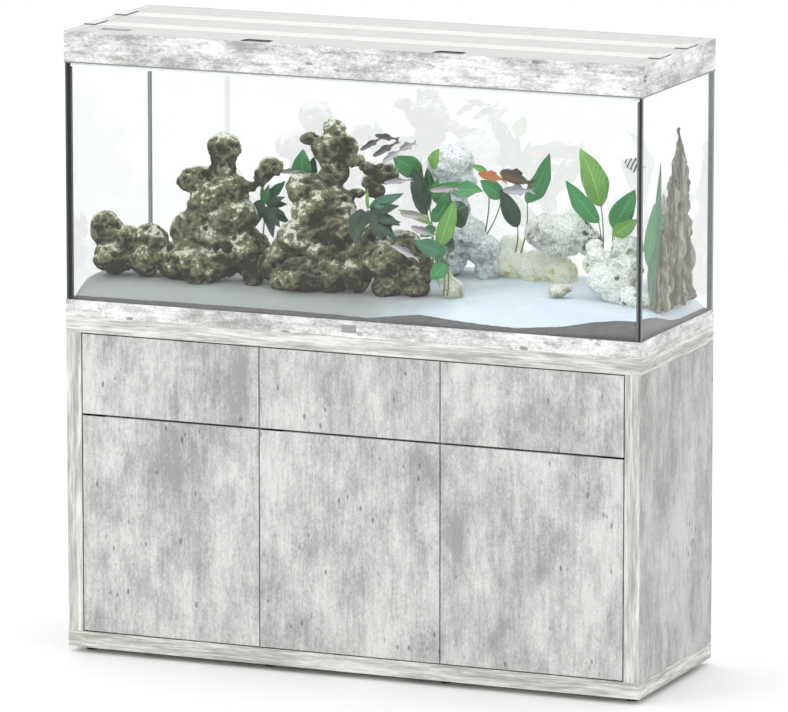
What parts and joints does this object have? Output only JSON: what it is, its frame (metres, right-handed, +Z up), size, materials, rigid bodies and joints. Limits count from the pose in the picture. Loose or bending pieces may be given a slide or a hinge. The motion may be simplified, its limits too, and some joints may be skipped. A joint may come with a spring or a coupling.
{
  "type": "aquarium on stand",
  "caption": "Rectangular framed glass aquarium with a flapped lighting hood on a cabinet stand with drawers and doors",
  "frame": {"origin": "middle of the footprint on the floor, under the feet", "axes": "+Z up, +X to the right seen from the front, -Y towards the front with the doors"},
  "size_m": [1.5, 0.49, 1.5435],
  "materials": {
    "concrete_front": "printed concrete-look laminate",
    "concrete_white": "printed white concrete-look laminate",
    "grain_laminate": "printed pale grey grained laminate",
    "inner_board": "matt white laminate",
    "steel": "zinc-plated",
    "black_plastic": "matt",
    "glass": "clear float glass",
    "silicone": "satin black",
    "foam": "closed-cell foam",
    "hood_plastic": "satin",
    "cap_plastic": "satin",
    "lamp": "diffuser",
    "badge_metal": "satin",
    "gravel": "dark gravel",
    "sand": "fine white sand",
    "rock": "porous reef rock",
    "white_rock": "porous white reef rock",
    "petrified": "layered petrified wood",
    "leaf": "waxy leaf",
    "fish_skin": "scaly"
  },
  "bodies": {
    "cabinet": {"base_panel": "grain_laminate", "top_panel": "grain_laminate", "left_side_panel": "concrete_front", "right_side_panel": "concrete_front", "back_panel": "inner_board", "left_divider": "inner_board", "right_divider": "inner_board", "cross_rails": "inner_board", "glide_feet": "black_plastic", "left_shelf": "inner_board", "right_shelf": "inner_board", "shelf_pins": "steel", "runner_cabinet_rails": "steel", "door_pivot_pins": "steel", "door_pivot_brackets": "steel", "foam_mat": "foam", "bottom_glass": "glass", "front_glass": "glass", "back_glass": "glass", "left_glass": "glass", "right_glass": "glass", "silicone_seams": "silicone", "glass_braces": "glass", "tank_base_frame": "concrete_white", "badge": "badge_metal", "hood_frame": "concrete_white", "hood_rails": "hood_plastic", "rail_end_caps": "cap_plastic", "light_bars": "lamp", "flap_hinge_pins": "steel", "gravel_bed": "gravel", "sand_bed": "sand", "left_rock": "rock", "center_rock": "rock", "right_rock": "white_rock", "loose_rocks": "white_rock", "petrified_wood": "petrified", "plants": "leaf", "fish": "fish_skin"},
    "left_door": {"left_door": "concrete_front", "left_door_pivot_plates": "steel"},
    "left_drawer": {"left_drawer_front": "concrete_front", "left_drawer_box": "inner_board", "left_runner_drawer_rails": "steel"},
    "left_runner": {"left_runner_middle_rails": "steel"},
    "center_door": {"center_door": "concrete_front", "center_door_pivot_plates": "steel"},
    "center_drawer": {"center_drawer_front": "concrete_front", "center_drawer_box": "inner_board", "center_runner_drawer_rails": "steel"},
    "center_runner": {"center_runner_middle_rails": "steel"},
    "right_door": {"right_door": "concrete_front", "right_door_pivot_plates": "steel"},
    "right_drawer": {"right_drawer_front": "concrete_front", "right_drawer_box": "inner_board", "right_runner_drawer_rails": "steel"},
    "right_runner": {"right_runner_middle_rails": "steel"},
    "front_flap": {"front_flap": "hood_plastic"},
    "middle_flap": {"middle_flap": "hood_plastic"},
    "rear_flap": {"rear_flap": "hood_plastic"}
  },
  "joints": [
    {"name": "left_door_swing", "type": "hinge", "parent": "cabinet", "child": "left_door", "pos_m": [-0.703, -0.241, 0.3265], "axis": [0, 0, -1], "range_deg": [0, 95]},
    {"name": "left_drawer_slide", "type": "slide", "parent": "cabinet", "child": "left_drawer", "axis": [0, -1, 0], "range_m": [0, 0.35]},
    {"name": "left_runner_slide", "type": "slide", "parent": "cabinet", "child": "left_runner", "axis": [0, -1, 0], "range_m": [0, 0.175]},
    {"name": "center_door_swing", "type": "hinge", "parent": "cabinet", "child": "center_door", "pos_m": [-0.23117, -0.241, 0.3265], "axis": [0, 0, -1], "range_deg": [0, 95]},
    {"name": "center_drawer_slide", "type": "slide", "parent": "cabinet", "child": "center_drawer", "axis": [0, -1, 0], "range_m": [0, 0.35]},
    {"name": "center_runner_slide", "type": "slide", "parent": "cabinet", "child": "center_runner", "axis": [0, -1, 0], "range_m": [0, 0.175]},
    {"name": "right_door_swing", "type": "hinge", "parent": "cabinet", "child": "right_door", "pos_m": [0.703, -0.241, 0.3265], "axis": [0, 0, 1], "range_deg": [0, 95]},
    {"name": "right_drawer_slide", "type": "slide", "parent": "cabinet", "child": "right_drawer", "axis": [0, -1, 0], "range_m": [0, 0.35]},
    {"name": "right_runner_slide", "type": "slide", "parent": "cabinet", "child": "right_runner", "axis": [0, -1, 0], "range_m": [0, 0.175]},
    {"name": "front_flap_lift", "type": "hinge", "parent": "cabinet", "child": "front_flap", "pos_m": [0, -0.1315, 1.537], "axis": [-1, 0, 0], "range_deg": [0, 100]},
    {"name": "middle_flap_lift", "type": "hinge", "parent": "cabinet", "child": "middle_flap", "pos_m": [0, 0.0455, 1.537], "axis": [-1, 0, 0], "range_deg": [0, 100]},
    {"name": "rear_flap_lift", "type": "hinge", "parent": "cabinet", "child": "rear_flap", "pos_m": [0, 0.2345, 1.537], "axis": [-1, 0, 0], "range_deg": [0, 100]}
  ],
  "couplings": [
    {"joint": "left_runner_slide", "follows": "left_drawer_slide", "ratio": 0.5},
    {"joint": "center_runner_slide", "follows": "center_drawer_slide", "ratio": 0.5},
    {"joint": "right_runner_slide", "follows": "right_drawer_slide", "ratio": 0.5}
  ]
}
